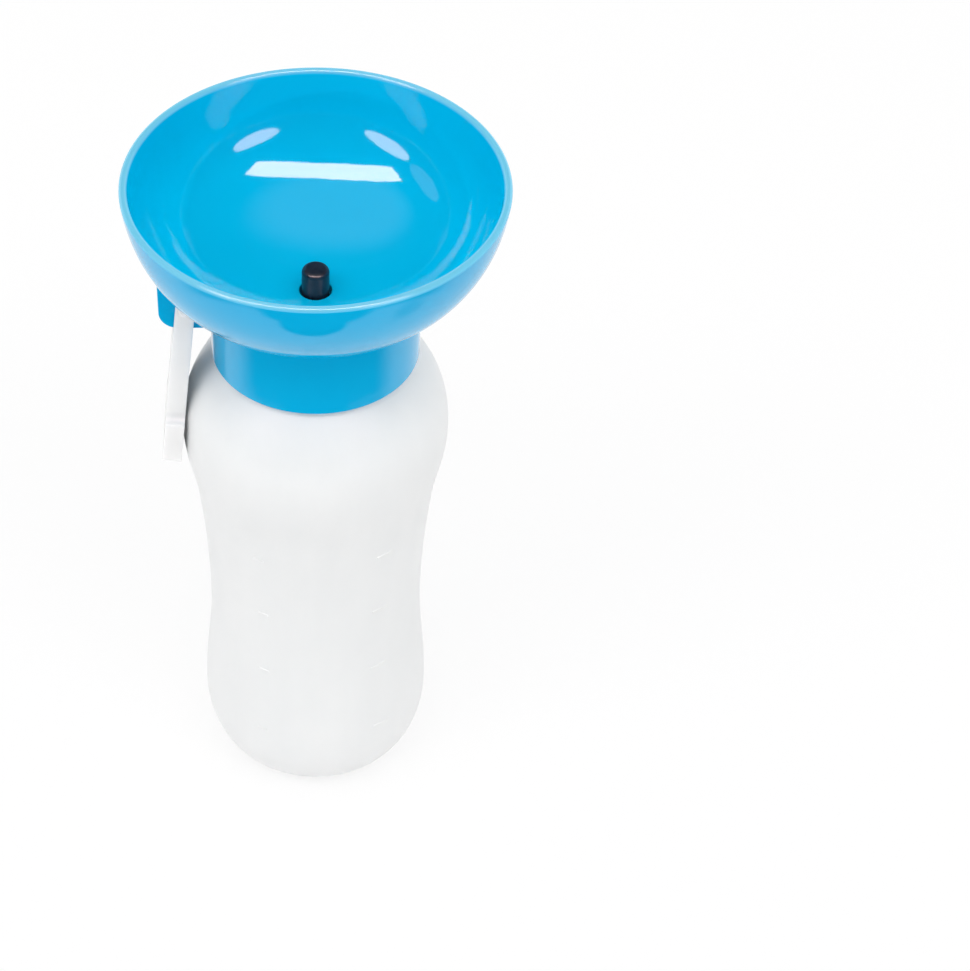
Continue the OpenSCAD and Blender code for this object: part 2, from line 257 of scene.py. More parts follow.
def milky_plastic():
    """Milky polyethylene: soft clouds where the blown wall varies, a silky skin and fine grain."""
    material, shader, place = new_material(
        "milky_plastic", Subsurface_Weight=0.55, Subsurface_Radius=(1, 1, 1),
        Subsurface_Scale=0.006, IOR=1.5, Specular_IOR_Level=0.4)
    clouds = noise(material, place, 28, 3)
    tall = node(material, "ShaderNodeMapping", {"Vector": place, "Scale": (60, 60, 9)}).outputs["Vector"]
    streaks = noise(material, tall, 1, 3)
    grain = noise(material, place, 1700, 2)
    mixed = node(material, "ShaderNodeMath", {0: clouds, 1: streaks}, operation="MULTIPLY")
    colour = ramp(material, mixed.outputs["Value"],
                  (0.1, (0.86, 0.885, 0.89)), (0.5, (0.92, 0.94, 0.94)))
    wire(material, shader, Base_Color=colour, Roughness=spread(material, streaks, 0.36, 0.5),
         Normal=bump(material, grain, 0.00003, bump(material, streaks, 0.00015)))
    return material


heel = arc((foot_r, BULGE[0]), (BULGE[1] - foot_r, BULGE[0]), -90, 0)
inner_heel = arc((foot_r - bottle_wall, BULGE[0]),
                 (BULGE[1] - foot_r, BULGE[0] - bottle_wall), 0, -90)
inner_end = (SHOULDER_END[0] - bottle_wall, SHOULDER_END[1] - bottle_wall, SHOULDER_END[2])
inner_shoulder = (SHOULDER[0], SHOULDER[1] - bottle_wall, 0)
bottle = turned("bottle_moulding", [
    (0, hollow_h), (hollow_r, hollow_h), (foot_ring_r, 0), heel,
    flowing(BULGE, WAIST), flowing(WAIST, FLARE), flowing(FLARE, SHOULDER),
    flowing(SHOULDER, SHOULDER_END), (neck_r, neck_root), (neck_r, neck_top), (neck_bore_r, neck_top),
    (neck_bore_r, neck_root - bottle_wall), inside_of(flowing(inner_shoulder, inner_end), 0),
    inside_of(flowing(FLARE, SHOULDER), bottle_wall), inside_of(flowing(WAIST, FLARE), bottle_wall),
    inside_of(flowing(BULGE, WAIST), bottle_wall), inner_heel, (foot_ring_r, bottle_wall),
    (hollow_r, hollow_h + bottle_wall), (0, hollow_h + bottle_wall)])
soften(bottle, [(hollow_r, hollow_h), (foot_ring_r, 0), (foot_r, 0)], 0.6)
soften(bottle, [(neck_r, neck_top), (neck_bore_r, neck_top), (neck_r, neck_root)], neck_edge)

thread_turns = 1.25
thread_pitch = 5
thread_r = 26.7
thread_root_w = 2.2
thread_crest_w = 1.2
thread_steps = 90
thread_z = neck_root + 4
# Angle over which the ridge fades in and out, and the share of its height left at its very end.
THREAD_FADE = 40
THREAD_LEAST = 0.04


def thread(name, root_r, crest_r, start_z):
    """A helical ridge that stands from one radius to another and fades at its ends."""
    sunk = 0.6 * (1 if crest_r > root_r else -1)
    ridge = stood(drawn(name, [
        (root_r - sunk, start_z - thread_root_w / 2), (crest_r, start_z - thread_crest_w / 2),
        (crest_r, start_z + thread_crest_w / 2),
        (root_r - sunk, start_z + thread_root_w / 2)], closed=True))
    screw = ridge.modifiers.new("helix", "SCREW")
    screw.angle = thread_turns * math.tau
    screw.screw_offset = thread_turns * thread_pitch * MM
    screw.steps = screw.render_steps = thread_steps
    bpy.ops.object.modifier_apply(modifier="helix")
    fade = math.radians(THREAD_FADE)
    for vertex in ridge.data.vertices:
        radius = math.hypot(vertex.co.x, vertex.co.y)
        rough_turn = (vertex.co.z / MM - start_z) / thread_pitch
        angle = math.atan2(vertex.co.y, vertex.co.x) / math.tau
        turn = (angle + round(rough_turn - angle)) * math.tau
        height = max(THREAD_LEAST, min(1, turn / fade, (thread_turns * math.tau - turn) / fade))
        if abs(radius - crest_r * MM) < 0.2 * MM:
            wanted = (root_r + (crest_r - root_r) * height) * MM
            vertex.co.x *= wanted / radius
            vertex.co.y *= wanted / radius
    bpy.ops.object.mode_set(mode="EDIT")
    bpy.ops.mesh.select_all(action="DESELECT")
    bpy.ops.mesh.select_mode(type="EDGE")
    bpy.ops.mesh.select_non_manifold()
    bpy.ops.mesh.edge_face_add()
    bpy.ops.mesh.select_all(action="SELECT")
    bpy.ops.mesh.normals_make_consistent(inside=False)
    bpy.ops.object.mode_set(mode="OBJECT")
    return ridge


neck_thread = thread("neck_thread", neck_r, thread_r, thread_z)

mark_z = 27
mark_step = 24.5
mark_count = 4
mark_proud = 0.22
mark_sunk = 0.5
mark_w = 0.9
mark_edge = 0.22
# Length of each stroke and its angle round the bottle from the front.
MARKS = {"mark_right": (5.5, 36), "mark_left": (3.6, -29)}


def body_r(z):
    """Outer radius of the bottle's body at a height."""
    stations = [BULGE, WAIST, FLARE, SHOULDER, SHOULDER_END]
    low, high = next((a, b) for a, b in zip(stations, stations[1:]) if z <= b[0])
    t = (z - low[0]) / (high[0] - low[0])
    a, b, c, d = [radius for radius, height in flowing(low, high)]
    return a * (1 - t) ** 3 + 3 * b * t * (1 - t) ** 2 + 3 * c * t * t * (1 - t) + d * t ** 3


def stroke(name, length, turn, z):
    """A raised graduation stroke, wrapped round the bottle at a height."""
    bpy.ops.mesh.primitive_cube_add(size=1, scale=(length, mark_proud + mark_sunk, mark_w))
    bpy.ops.object.transform_apply(location=False, rotation=False, scale=True)
    bpy.ops.object.mode_set(mode="EDIT")
    bpy.ops.mesh.select_all(action="SELECT")
    bpy.ops.mesh.bevel(offset=mark_edge, segments=3, affect="EDGES")
    bpy.ops.mesh.select_all(action="SELECT")
    bpy.ops.mesh.subdivide(number_cuts=2)
    bpy.ops.object.mode_set(mode="OBJECT")
    mark = bpy.context.object
    mark.name = name
    for vertex in mark.data.vertices:
        height = z + mark_w / 2 + vertex.co.z
        radius = body_r(height) + (mark_proud - mark_sunk) / 2 - vertex.co.y
        angle = math.radians(turn) + vertex.co.x / radius
        vertex.co = Vector((math.sin(angle) * radius, -math.cos(angle) * radius, height)) * MM
    return mark


for step in range(mark_count):
    for name, (length, turn) in MARKS.items():
        cut(bottle, stroke(name, length, turn, mark_z + mark_step * step), "UNION")
cut(bottle, neck_thread, "UNION")
smooth(bottle)
milky = milky_plastic()
bottle.data.materials.clear()
bottle.data.materials.append(milky)
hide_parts("bottle")
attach(bottle, "bottle")


# ---------------------------------------------------------------- bowl that is the cap
# Bowl, screw skirt, clip ears and valve sleeve are one glossy blue moulding. The wall is
# even, the lip is round, and the floor has a small hole for the valve's knob.

cap_low, cap_high = [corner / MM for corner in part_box("bowl_cap")]
bowl_wall = 2.3
lip_r = bowl_wall / 2
bowl_r = cap_high.x
bowl_under = 177.3
rim_z = 217.1
inner_rim = (bowl_r - 2.29, rim_z + 0.28)
side_in = 3.4
side_drop = 27.6
floor_run = 31.6
OUTER = [(bowl_r, rim_z), (bowl_r - side_in, rim_z - side_drop),
         (floor_run, bowl_under), (0, bowl_under)]
INNER = [inner_rim, (inner_rim[0] - 3.2, inner_rim[1] - 26.1), (30.8, bowl_under + bowl_wall),
         (0, bowl_under + bowl_wall)]
skirt_r = 30.35
skirt_bore_r = 27.4
skirt_z = cap_low.z
land_z = 180
land_r = 21.1
sleeve_r = 8.7
socket_r = 6.7
outlet_r = 4.7
outlet_l = 3.6
sleeve_l = 12
floor_z = bowl_under + bowl_wall


def part_of(curve, start, end):
    """The stretch of a curve between two shares of it, by de Casteljau's halving."""
    def upto(points, t):
        rows = [points]
        while len(rows[-1]) > 1:
            rows.append([tuple(p + (q - p) * t for p, q in zip(a, b))
                         for a, b in zip(rows[-1], rows[-1][1:])])
        return [row[0] for row in rows]
    first = upto(curve, end)
    back = upto(first[::-1], 1 - start / end)
    return back[::-1]


def share_at(curve, radius):
    """How far along the curve it comes in to a radius."""
    low, high = 0.0, 1.0
    for _ in range(40):
        middle = (low + high) / 2
        if part_of(curve, 0, middle)[-1][0] > radius:
            low = middle
        else:
            high = middle
    return low


def blue_gloss():
    """Glossy blue polypropylene: a faint swirl in the colour, moulding ripple and fine wear.

    The blue is painted by place: lightest on the lip as a painted highlight, lighter on the floor than
    up the wall as painted light and shade, and deepest on the outer faces as painted shade."""
    material, shader, place = new_material(
        "blue_plastic", IOR=1.49, Specular_IOR_Level=0.5)
    swirl = noise(material, place, 22, 4)
    height = node(material, "ShaderNodeSeparateXYZ", {"Vector": place}).outputs["Z"]
    # Painted light and shade: the blue is lighter on the floor and darker from about 14 to 30 mm up the
    # wall, standing in for the light falling on the floor.
    floor_to_wall_painted_shade = node(material, "ShaderNodeMapRange", {
        "Value": height, "From Min": (floor_z + 14) * MM,
        "From Max": (floor_z + 30) * MM}).outputs["Result"]
    floor_blue_painted_light = ramp(material, swirl, (0.3, (0, 0.54, 0.84)), (0.7, (0, 0.575, 0.885)))
    wall_blue_painted_shade = ramp(material, swirl, (0.3, (0, 0.455, 0.735)), (0.7, (0, 0.49, 0.775)))
    inside = node(material, "ShaderNodeMix", {"Factor": floor_to_wall_painted_shade, 6: floor_blue_painted_light, 7: wall_blue_painted_shade},
                  data_type="RGBA").outputs[2]
    # Painted shade: faces that look out from the axis, picked by the mask below, get a deeper blue than
    # the inner faces.
    outer_blue_painted_shade = ramp(material, swirl, (0.3, (0, 0.375, 0.68)), (0.7, (0, 0.405, 0.72)))
    facing = node(material, "ShaderNodeTexCoord").outputs["Normal"]
    away = node(material, "ShaderNodeVectorMath", {0: place, 1: (1, 1, 0)},
                operation="MULTIPLY").outputs[0]
    away = node(material, "ShaderNodeVectorMath", {0: away}, operation="NORMALIZE").outputs[0]
    away = node(material, "ShaderNodeVectorMath", {0: away, 1: (0, 0, -0.3)},
                operation="ADD").outputs[0]
    outward = node(material, "ShaderNodeVectorMath", {0: facing, 1: away},
                   operation="DOT_PRODUCT").outputs["Value"]
    outer = node(material, "ShaderNodeMapRange", {
        "Value": outward, "From Min": -0.25, "From Max": -0.1}).outputs["Result"]
    colour = node(material, "ShaderNodeMix", {"Factor": outer, 6: inside, 7: outer_blue_painted_shade},
                  data_type="RGBA").outputs[2]
    # Painted highlight: the rim band gets a paler blue that stands in for the light it reflects.
    lip = node(material, "ShaderNodeMapRange", {
        "Value": height, "From Min": (rim_z - 0.1) * MM,
        "From Max": (rim_z + 0.7) * MM}).outputs["Result"]
    colour = node(material, "ShaderNodeMix", {"Factor": lip, 6: colour, 7: (0.18, 0.61, 0.84, 1)},
                  data_type="RGBA").outputs[2]
    wear = noise(material, place, 240, 5)
    ripple = noise(material, place, 90, 2)
    grain = noise(material, place, 2200, 1)
    wire(material, shader, Base_Color=colour, Roughness=spread(material, wear, 0.025, 0.075),
         Normal=bump(material, grain, 0.000003, bump(material, ripple, 0.00006)))
    return material


to_skirt = share_at(OUTER, skirt_r)
to_land = share_at(OUTER, land_r)
to_sleeve = share_at(OUTER, sleeve_r)
to_outlet = share_at(INNER, outlet_r)
lip_centre = ((bowl_r + inner_rim[0]) / 2, (rim_z + inner_rim[1]) / 2)
bowl = turned("bowl_cap_moulding", [
    part_of(INNER, 0, to_outlet)[::-1],
    arc(lip_centre, (lip_r, lip_r), 173, 83), arc(lip_centre, (lip_r, lip_r), 83, -7),
    part_of(OUTER, 0, to_skirt),
    (skirt_r, skirt_z), (skirt_bore_r, skirt_z), (skirt_bore_r, land_z), (land_r, land_z),
    part_of(OUTER, to_land, to_sleeve),
    (sleeve_r, floor_z - sleeve_l), (socket_r, floor_z - sleeve_l), (socket_r, floor_z - outlet_l),
    (outlet_r, floor_z - outlet_l)], closed=True)
soften(bowl, [(skirt_r, skirt_z), (skirt_bore_r, skirt_z)], 0.45)
soften(bowl, [part_of(OUTER, 0, to_skirt)[-1]], 0.6)
soften(bowl, [part_of(INNER, 0, to_outlet)[-1]], 0.25)

pin_x = 37.2
pin_z = skirt_z + 21.4
pin_r = 1.3
ear_t = 3
ear_inner_y = 4.7
ear_root_x = 28.2
ear_out_x = 45.3
ear_foot_z = pin_z - 8.4
ear_corner = 5.5
ear_edge = 0.3
# The ear's outer edge lies this far in from its outermost point.
ear_draft = 0.3
ear_bite = 1.2
hole_fit = 0.02
thread_root_gap = 0.5
thread_below = 2


def plate(name, outline, thickness, edge=0, holes=(), turn=(90, 0, 0)):
    """A flat plate with rounded edges and round holes (x, y, radius), stood up by a turn."""
    curve = drawn(name, outline, closed=True)
    for x, y, radius in holes:
        ring = curve.data.splines.new("BEZIER")
        ring.bezier_points.add(3)
        ring.use_cyclic_u = True
        for quarter, point in enumerate(ring.bezier_points):
            on, pull = arc((x, y), (radius, radius), 90 * quarter, 90 * quarter + 90)[:2]
            point.co = Vector((*on, 0)) * MM
            point.handle_right = Vector((*pull, 0)) * MM
            point.handle_left = 2 * point.co - point.handle_right
    curve.data.dimensions = "2D"
    curve.data.fill_mode = "BOTH"
    curve.data.extrude = (thickness / 2 - edge) * MM
    curve.data.bevel_depth = edge * MM
    curve.data.bevel_resolution = 2
    curve.data.offset = -edge * MM
    made = stood(curve, turn)
    bpy.ops.object.mode_set(mode="EDIT")
    bpy.ops.mesh.select_all(action="SELECT")
    bpy.ops.mesh.remove_doubles(threshold=JOIN)
    bpy.ops.mesh.normals_make_consistent(inside=False)
    bpy.ops.object.mode_set(mode="OBJECT")
    return made


under_bowl = part_of(OUTER, share_at(OUTER, ear_out_x), share_at(OUTER, ear_root_x))
ear_top = [(-x, z + ear_bite) for x, z in under_bowl]
corner_at = (ear_draft + ear_corner - ear_out_x, ear_foot_z + ear_corner)
ear_outline = [ear_top, (-ear_root_x, ear_foot_z), arc(corner_at, (ear_corner, ear_corner), 270, 180)]
ears = []
for side in (-1, 1):
    ear = plate(f"ear_{side}", ear_outline, ear_t, ear_edge, [(-pin_x, pin_z, pin_r + hole_fit)])
    for vertex in ear.data.vertices:
        vertex.co.y += side * (ear_inner_y + ear_t / 2) * MM
    ears.append(ear)
cap_thread = thread("cap_thread", skirt_bore_r, neck_r + thread_root_gap, thread_z - thread_below)
bpy.ops.object.select_all(action="DESELECT")
for piece in [cap_thread, *ears, bowl]:
    piece.select_set(True)
bpy.context.view_layer.objects.active = bowl
bpy.ops.object.join()
smooth(bowl)
blue = blue_gloss()
bowl.data.materials.clear()
bowl.data.materials.append(blue)
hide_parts("bowl_cap")
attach(bowl, "cap")


# ---------------------------------------------------------------- valve
# A black plunger slides in a moulded chamber under the bowl's floor. Its slotted flange stops
# it at the top, and the rubber ring on its foot seals when the knob is pushed down.

knob_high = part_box("valve_plunger")[1] / MM
ring_low, ring_high = [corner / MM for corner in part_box("plunger_o_ring")]
knob_r = 4
knob_edge = 1.5
stop_r = 5.42
stop_top = floor_z - outlet_l - 0.4
stop_t = 1.6
stem_r = 2.5
cone_h = 1
foot_r = 3.7
groove_r = 2.6
groove_w = 1.9
foot_h = 3.5
ring_z = (ring_low.z + ring_high.z) / 2
slot_w = 2.4
slot_in = 0.6


def black_satin():
    """Black polypropylene with a blue cast, a fine spark-eroded grain and rubbed patches."""
    material, shader, place = new_material("black_plastic", IOR=1.49, Specular_IOR_Level=0.5)
    rubbed = noise(material, place, 500, 4)
    colour = ramp(material, rubbed, (0.3, (0.004, 0.007, 0.016)), (0.75, (0.012, 0.018, 0.032)))
    grain = noise(material, place, 6000, 2)
    wire(material, shader, Base_Color=colour, Roughness=spread(material, rubbed, 0.22, 0.4),
         Normal=bump(material, grain, 0.00001))
    return material


def edged(piece, width, segments=2, angle=40):
    """Breaks all the sharp edges of a piece."""
    edge = piece.modifiers.new("edge", "BEVEL")
    edge.width = width * MM
    edge.segments = segments
    edge.limit_method = "ANGLE"
    edge.angle_limit = math.radians(angle)
    bpy.context.view_layer.objects.active = piece
    bpy.ops.object.modifier_apply(modifier="edge")


plunger = turned("plunger", [
    (0, knob_high.z),
    arc((knob_r - knob_edge, knob_high.z - knob_edge), (knob_edge, knob_edge), 90, 0),
    (knob_r, stop_top), (stop_r, stop_top), (stop_r, stop_top - stop_t),
    (stem_r, stop_top - stop_t - cone_h), (stem_r, ring_z + foot_h / 2 + cone_h),
    (foot_r, ring_z + foot_h / 2), (foot_r, ring_z + groove_w / 2),
    (groove_r, ring_z + groove_w / 2), (groove_r, ring_z - groove_w / 2),
    (foot_r, ring_z - groove_w / 2), (foot_r, ring_z - foot_h / 2), (0, ring_z - foot_h / 2)])
soften(plunger,
       [(stop_r, stop_top), (stop_r, stop_top - stop_t), (foot_r, ring_z - foot_h / 2)], 0.2)
for turn in (0, 120, 240):
    middle = stem_r + slot_in + stop_r / 2
    angle = math.radians(turn)
    slot_at = (middle * math.cos(angle), middle * math.sin(angle), stop_top - stop_t / 2)
    bpy.ops.object.select_all(action="DESELECT")
    bpy.ops.mesh.primitive_cube_add(
        size=1, scale=Vector((stop_r, slot_w, stop_t + 2 * cone_h)) * MM,
        rotation=(0, 0, angle), location=Vector(slot_at) * MM)
    cut(plunger, bpy.context.object)
smooth(plunger)
black = black_satin()
plunger.data.materials.clear()
plunger.data.materials.append(black)
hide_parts("valve_plunger")
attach(plunger, "valve")
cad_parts["valve_body"].data.materials.clear()
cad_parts["valve_body"].data.materials.append(black)


def soft_rubber():
    """Grey silicone rubber: matt, slightly mottled, with a dusty bloom."""
    material, shader, place = new_material("grey_rubber", IOR=1.41, Specular_IOR_Level=0.35,
                                           Sheen_Weight=0.2, Sheen_Roughness=0.6)
    mottle = noise(material, place, 350, 4)
    colour = ramp(material, mottle, (0.3, (0.20, 0.215, 0.225)), (0.7, (0.27, 0.285, 0.295)))
    wire(material, shader, Base_Color=colour, Roughness=spread(material, mottle, 0.55, 0.75),
         Normal=bump(material, mottle, 0.00003))
    return material


def clear_tube():
    """Cloudy clear polyethylene tube with drawing lines along its length."""
    material, shader, place = new_material("clear_plastic", IOR=1.5, Transmission_Weight=0.6)
    drawn_out = node(material, "ShaderNodeMapping", {"Vector": place, "Scale": (900, 900, 12)})
    lines = noise(material, drawn_out.outputs["Vector"], 1, 3)
    colour = ramp(material, lines, (0.3, (0.78, 0.84, 0.86)), (0.7, (0.88, 0.92, 0.93)))
    wire(material, shader, Base_Color=colour, Roughness=spread(material, lines, 0.2, 0.34),
         Normal=bump(material, lines, 0.00004))
    return material


rubber = soft_rubber()
tube = clear_tube()
for name, finish in (("plunger_o_ring", rubber), ("neck_gasket", rubber), ("dip_tube", tube)):
    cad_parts[name].data.materials.clear()
    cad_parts[name].data.materials.append(finish)


# ---------------------------------------------------------------- belt clip
# The clip is a white moulded channel, open towards the bottle, with a forked top that hangs
# on a moulded pin between the bowl's ears and a wider thumb piece at its lower end.

clip_lean = 5.4
clip_depth = 5.6
clip_w = 20
clip_wall = 2
clip_l = 56.2
thumb_w = 26
thumb_h = 14.8
thumb_corner = 1.5
shoulder_corner = 0.8
lower_edge = 1
fork_z = -10.7
arm_in_y = clip_w / 2 - clip_wall
arm_hole_r = 1.4
clip_edge = 0.25


def mirrored(outline):
    """The outline's other half, on the far side of x = 0."""
    return [[(-x, y) for x, y in reversed(item)] if len(item) > 2 else (-item[0], item[1])
            for item in reversed(outline)]


def clip_front(inset):
    """The clip's front outline: a strip, a hollow curve out to the thumb piece and its corners."""
    half = clip_w / 2 - inset
    thumb = thumb_w / 2 - inset
    curve = thumb - half
    thumb_top = -clip_l + thumb_h - inset
    low = -clip_l + inset
    shoulder = (thumb - shoulder_corner, thumb_top - shoulder_corner)
    right = [
        (half, clip_depth),
        arc((half + curve, thumb_top + curve), (curve, curve),
            180, 270 - math.degrees(shoulder_corner / curve)),
        arc(shoulder, (shoulder_corner, shoulder_corner), 90, 0),
        arc((thumb - thumb_corner, low + thumb_corner), (thumb_corner, thumb_corner), 0, -90)]
    return right + mirrored(right)


def white_satin():
    """White polypropylene: a satin skin, faint yellowing, fine grain and scuffs."""
    material, shader, place = new_material(
        "white_plastic", Subsurface_Weight=0.8, Subsurface_Radius=(1, 1, 1),
        Subsurface_Scale=0.003, IOR=1.49, Specular_IOR_Level=0.45)
    tint = noise(material, place, 45, 3)
    colour = ramp(material, tint, (0.3, (0.80, 0.80, 0.795)), (0.7, (0.84, 0.84, 0.835)))
    scuffs = noise(material, place, 700, 5)
    grain = noise(material, place, 5000, 2)
    wire(material, shader, Base_Color=colour, Roughness=spread(material, scuffs, 0.3, 0.5),
         Normal=bump(material, grain, 0.000012))
    return material


clip = plate("clip_moulding", clip_front(0), clip_depth, turn=(90, 0, 90))
half_depth = clip_depth / 2
low_z = -clip_l + lower_edge
side_right = [
    arc((0, 0), (half_depth, half_depth), 90, 0),
    arc((half_depth - lower_edge, low_z), (lower_edge, lower_edge), 0, -90)]
cut(clip, plate("clip_side", side_right + mirrored(side_right), 2 * thumb_w), "INTERSECT")
hollow = plate("clip_hollow", clip_front(clip_wall), clip_depth, turn=(90, 0, 90))
for vertex in hollow.data.vertices:
    vertex.co.x += clip_wall * MM
cut(clip, hollow)
fork = [(-arm_in_y, fork_z), (arm_in_y, fork_z), (arm_in_y, clip_depth), (-arm_in_y, clip_depth)]
cut(clip, plate("clip_fork", fork, 2 * clip_depth, turn=(90, 0, 90)))
pin_hole = [arc((0, 0), (arm_hole_r, arm_hole_r), quarter, quarter + 90)
            for quarter in (0, 90, 180, 270)]
cut(clip, plate("clip_hole", pin_hole, 2 * clip_w))
edged(clip, clip_edge)
clip.location = Vector((-pin_x, 0, pin_z)) * MM
clip.rotation_euler = (0, math.radians(clip_lean), 0)
bpy.ops.object.transform_apply(location=True, rotation=True, scale=False)
smooth(clip)
white = white_satin()
clip.data.materials.clear()
clip.data.materials.append(white)
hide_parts("belt_clip")
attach(clip, "clip")

# The pin is turned along Z, with a round-edged head past each arm, and then laid along Y.
pin_reach = clip_w / 2 + 0.2
pin_head_r = pin_r + 0.6
pin_head_t = 0.8
head_edge = 0.6

pin_end = pin_reach + pin_head_t
pin = turned("pin", [
    (0, pin_end), (pin_head_r - head_edge, pin_end),
    arc((pin_head_r - head_edge, pin_end - head_edge), (head_edge, head_edge), 90, 0),
    (pin_head_r, pin_reach), (pin_r, pin_reach),
    (pin_r, -pin_reach), (pin_head_r, -pin_reach),
    arc((pin_head_r - head_edge, head_edge - pin_end), (head_edge, head_edge), 0, -90),
    (0, -pin_end)])
pin.rotation_euler = (math.pi / 2, 0, 0)
pin.location = Vector((-pin_x, 0, pin_z)) * MM
bpy.ops.object.transform_apply(location=True, rotation=True, scale=False)
smooth(pin)
pin.data.materials.clear()
pin.data.materials.append(white)
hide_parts("clip_pin")
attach(pin, "cap")


# ---------------------------------------------------------------- studio
# A white board on a dark floor, a dim room with a soft glow overhead, one long softbox above
# the bowl and two smaller ones either side of the camera. Softer lamps light the colours.

PHOTO = (970, 971)
axis_px = 315.6
focal_px = 3400
camera_back = 751.8
camera_z = rim_z + 587.4
pitch_down = 43.03
SENSOR_W = 36

bpy.ops.object.camera_add(location=(0, -camera_back * MM, camera_z * MM),
                          rotation=(math.radians(90 - pitch_down), 0, 0))
camera = bpy.context.object
camera.data.sensor_width = SENSOR_W
camera.data.lens = focal_px * SENSOR_W / max(PHOTO)
camera.data.shift_x = (PHOTO[0] / 2 - axis_px) / max(PHOTO)
bpy.context.scene.camera = camera


# The lamps that show in reflections are warm, so that they look white on the blue.
SHINE_TINT = (1, 0.72, 0.7)


def softbox(name, shape, centre, along, up, size, shine, light):
    """A soft lamp facing square to its long side and its up direction.

    Its radiance is given as it shows in a reflection and as it lights a surface."""
    long_side = Vector(along).normalized()
    back = long_side.cross(Vector(up)).normalized()
    turn = Matrix((long_side, back.cross(long_side), back)).transposed()
    for use, radiance in (("shine", shine), ("light", light)):
        if not radiance:
            continue
        bpy.ops.object.light_add(type="AREA", location=centre, rotation=turn.to_euler())
        lamp = bpy.context.object
        lamp.name = f"{name}_{use}"
        lamp.data.shape = shape
        lamp.data.size, lamp.data.size_y = size
        lamp.data.energy = radiance * math.pi * size[0] * size[1]
        lamp.data.color = SHINE_TINT if use == "shine" else (1, 1, 1)
        lamp.visible_camera = False
        lamp.visible_diffuse = use == "light"
        lamp.visible_glossy = lamp.visible_transmission = use == "shine"


softbox("key", "RECTANGLE", (-0.16, -0.69, 1.39), (1, -0.08, 0), (0, 1, 0), (2.42, 0.43), 17, 4.6)
softbox("right", "ELLIPSE", (0.88, -1.07, 0.72), (0.77, 0.64, 0.13), (0, 0, 1), (0.8, 0.29), 7, 1)
softbox("left", "ELLIPSE", (-0.9, -0.79, 0.67), (0.66, -0.75, -0.2), (0, 0, 1), (0.76, 0.27), 7, 2)
softbox("window", "ELLIPSE", (-1.31, -0.11, 0.88), (0, -1, 0), (0, 0, 1), (0.78, 0.32), 0.8, 0)


def unseen(made, name, finish):
    """Names a studio card and leaves it to reflections alone."""
    made.name = name
    made.data.materials.append(finish)
    made.visible_camera = made.visible_diffuse = made.visible_transmission = made.visible_shadow = False


paper, paper_shader, place = new_material("paper", Roughness=0.9, Base_Color=(0.92, 0.92, 0.92, 1))
rays = node(paper, "ShaderNodeLightPath").outputs
seen = node(paper, "ShaderNodeMath", {0: rays["Is Camera Ray"], 1: rays["Is Glossy Ray"]},
            operation="MAXIMUM")
seen = node(paper, "ShaderNodeMath", {0: seen.outputs[0], 1: rays["Is Transmission Ray"]},
            operation="MAXIMUM")
share = node(paper, "ShaderNodeMath", {0: seen.outputs[0], 1: 0.75}, operation="MULTIPLY")
lit_white = node(paper, "ShaderNodeEmission", {"Color": (1, 1, 1, 1), "Strength": 1.0})
blend = node(paper, "ShaderNodeMixShader", {
    0: share.outputs[0], 1: paper_shader.outputs[0], 2: lit_white.outputs[0]})
paper.node_tree.links.new(blend.outputs[0], paper.node_tree.nodes["Material Output"].inputs["Surface"])
bpy.ops.object.select_all(action="DESELECT")
bpy.ops.mesh.primitive_plane_add(size=12, location=(0, 0, -0.0002))
floor = bpy.context.object
floor.name = "floor"
floor.data.materials.append(paper)


def pool(material, place, centre, reach, rim, high=1.0):
    """A soft round spot: high inside the rim (a share of the reach) and nothing beyond the reach."""
    within = node(material, "ShaderNodeMapping", {"Vector": place, "Location": centre, "Scale": reach},
                  vector_type="TEXTURE").outputs["Vector"]
    distance = node(material, "ShaderNodeVectorMath", {0: within}, operation="LENGTH").outputs["Value"]
    return node(material, "ShaderNodeMapRange", {
        "Value": distance, "From Min": 1, "From Max": rim, "To Min": 0, "To Max": high},
        interpolation_type="SMOOTHSTEP").outputs["Result"]


# A gloss shows dark rings on the floor in front: one round a board of pale paper, one far out.
dark, dark_shader, place = new_material("dark_cloth", Roughness=1.0, Base_Color=(0.01, 0.01, 0.01, 1))
board = pool(dark, place, (0, 0, 0), (0.21, 0.21, 1), 0.93)
ring = pool(dark, place, (0, 0, 0), (0.255, 0.255, 1), 0.93)
ring = node(dark, "ShaderNodeMath", {0: ring, 1: board}, operation="SUBTRACT").outputs[0]
far = pool(dark, place, (0, 0, 0), (0.85, 0.85, 1), 0.75)
far = node(dark, "ShaderNodeMath", {0: 1.0, 1: far}, operation="SUBTRACT").outputs[0]
front = pool(dark, place, (-0.005, -0.165, 0), (0.068, 0.068, 1), 0.8)
aside = pool(dark, place, (0.155, -0.085, 0), (0.045, 0.045, 1), 0.3, 0.5)
band = pool(dark, place, (0, -0.21, 0), (0.2, 0.068, 1), 0.75)
ahead = node(dark, "ShaderNodeSeparateXYZ", {"Vector": place}).outputs["Y"]
ahead = node(dark, "ShaderNodeMapRange", {"Value": ahead, "From Min": 0.01, "From Max": -0.1},
             interpolation_type="SMOOTHSTEP").outputs["Result"]
shade = ring
for spot in (far, front, aside, band):
    shade = node(dark, "ShaderNodeMath", {0: shade, 1: spot}, operation="MAXIMUM").outputs[0]
shade = node(dark, "ShaderNodeMath", {0: shade, 1: ahead}, operation="MULTIPLY").outputs[0]
wire(dark, dark_shader, Alpha=shade)
bpy.ops.object.select_all(action="DESELECT")
bpy.ops.mesh.primitive_circle_add(vertices=64, radius=6, fill_type="NGON", location=(0, 0, 0.0002))
bpy.ops.object.transform_apply(location=True, rotation=False, scale=False)
unseen(bpy.context.object, "dark_floor", dark)

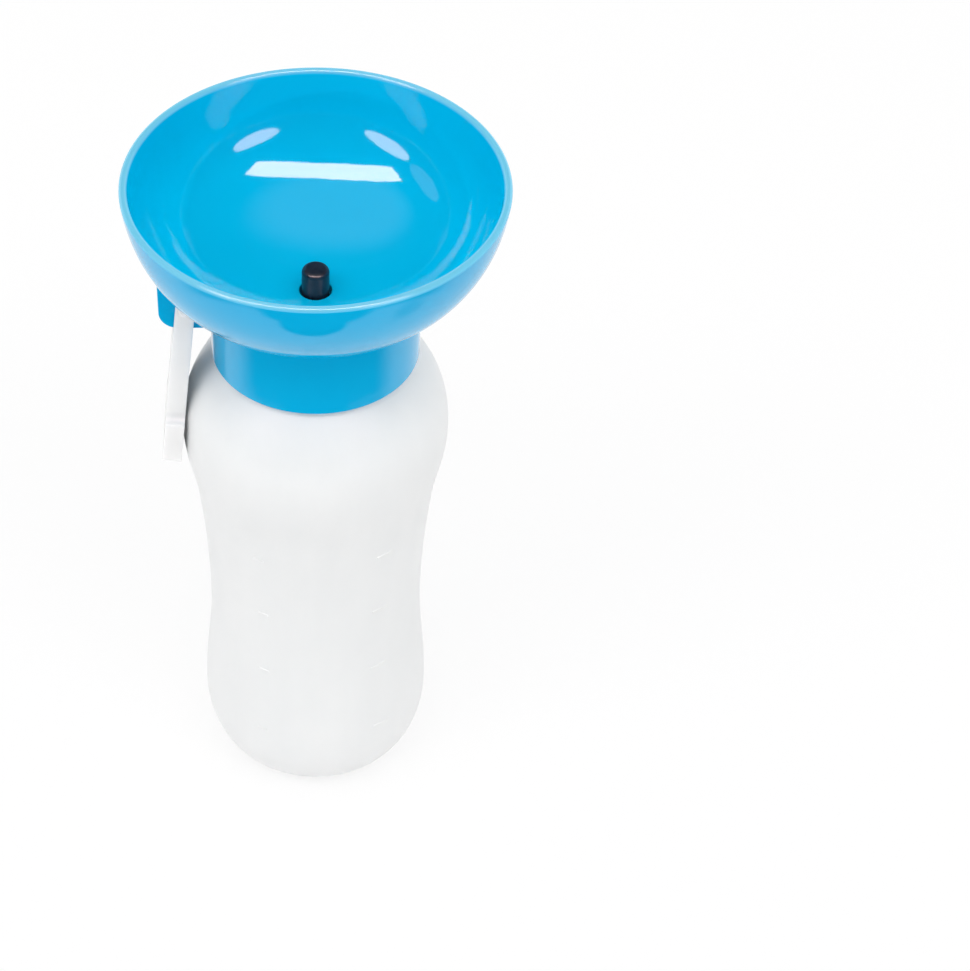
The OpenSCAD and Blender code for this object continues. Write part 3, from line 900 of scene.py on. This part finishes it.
# A soft patch of light on the ceiling, which the bowl's floor mirrors.
glow_centre = (-0.26, 0.02, 1.42)
glow_reach = (1.1, 0.9, 1)
glow, glow_shader, place = new_material("glow", Base_Color=(0, 0, 0, 1))
wire(glow, glow_shader, Emission_Strength=pool(glow, place, glow_centre, glow_reach, 0.5, 0.68))
glow_shader.inputs["Emission Color"].default_value = (1, 1, 1, 1)
bpy.ops.object.select_all(action="DESELECT")
bpy.ops.mesh.primitive_circle_add(vertices=48, radius=max(glow_reach), fill_type="NGON",
                                  location=glow_centre)
bpy.ops.object.transform_apply(location=True, rotation=False, scale=False)
unseen(bpy.context.object, "ceiling_glow", glow)

world = bpy.data.worlds.new("studio")
bpy.context.scene.world = world
world.use_nodes = True
world.node_tree.nodes.clear()
direction = node(world, "ShaderNodeTexCoord").outputs["Generated"]
way = node(world, "ShaderNodeSeparateXYZ", {"Vector": direction}).outputs
low = ramp(world, way["Z"], (0.36, (1, 1, 1)), (0.46, (0, 0, 0)))
behind = ramp(world, way["Y"], (0.45, (0, 0, 0)), (0.6, (1, 1, 1)))
backdrop = node(world, "ShaderNodeMath", {0: low, 1: behind}, operation="MULTIPLY").outputs[0]
rays = node(world, "ShaderNodeLightPath").outputs
mirrored_white = node(world, "ShaderNodeMath", {0: rays["Is Glossy Ray"], 1: backdrop},
                      operation="MULTIPLY")
seen = node(world, "ShaderNodeMath", {0: rays["Is Camera Ray"], 1: rays["Is Transmission Ray"]},
            operation="MAXIMUM")
seen = node(world, "ShaderNodeMath", {0: seen.outputs[0], 1: mirrored_white.outputs[0]},
            operation="MAXIMUM")
white_room = node(world, "ShaderNodeBackground", {"Color": (1, 1, 1, 1), "Strength": 1.0})
room = node(world, "ShaderNodeBackground", {"Color": (1, 1, 1, 1), "Strength": 0.01})
soft = node(world, "ShaderNodeBackground", {"Color": (1, 1, 1, 1), "Strength": 0.9})
dim = node(world, "ShaderNodeMixShader", {
    0: rays["Is Glossy Ray"], 1: soft.outputs[0], 2: room.outputs[0]})
blend = node(world, "ShaderNodeMixShader", {
    0: seen.outputs[0], 1: dim.outputs[0], 2: white_room.outputs[0]})
node(world, "ShaderNodeOutputWorld", {"Surface": blend.outputs[0]})
bpy.context.scene.view_settings.view_transform = "Standard"
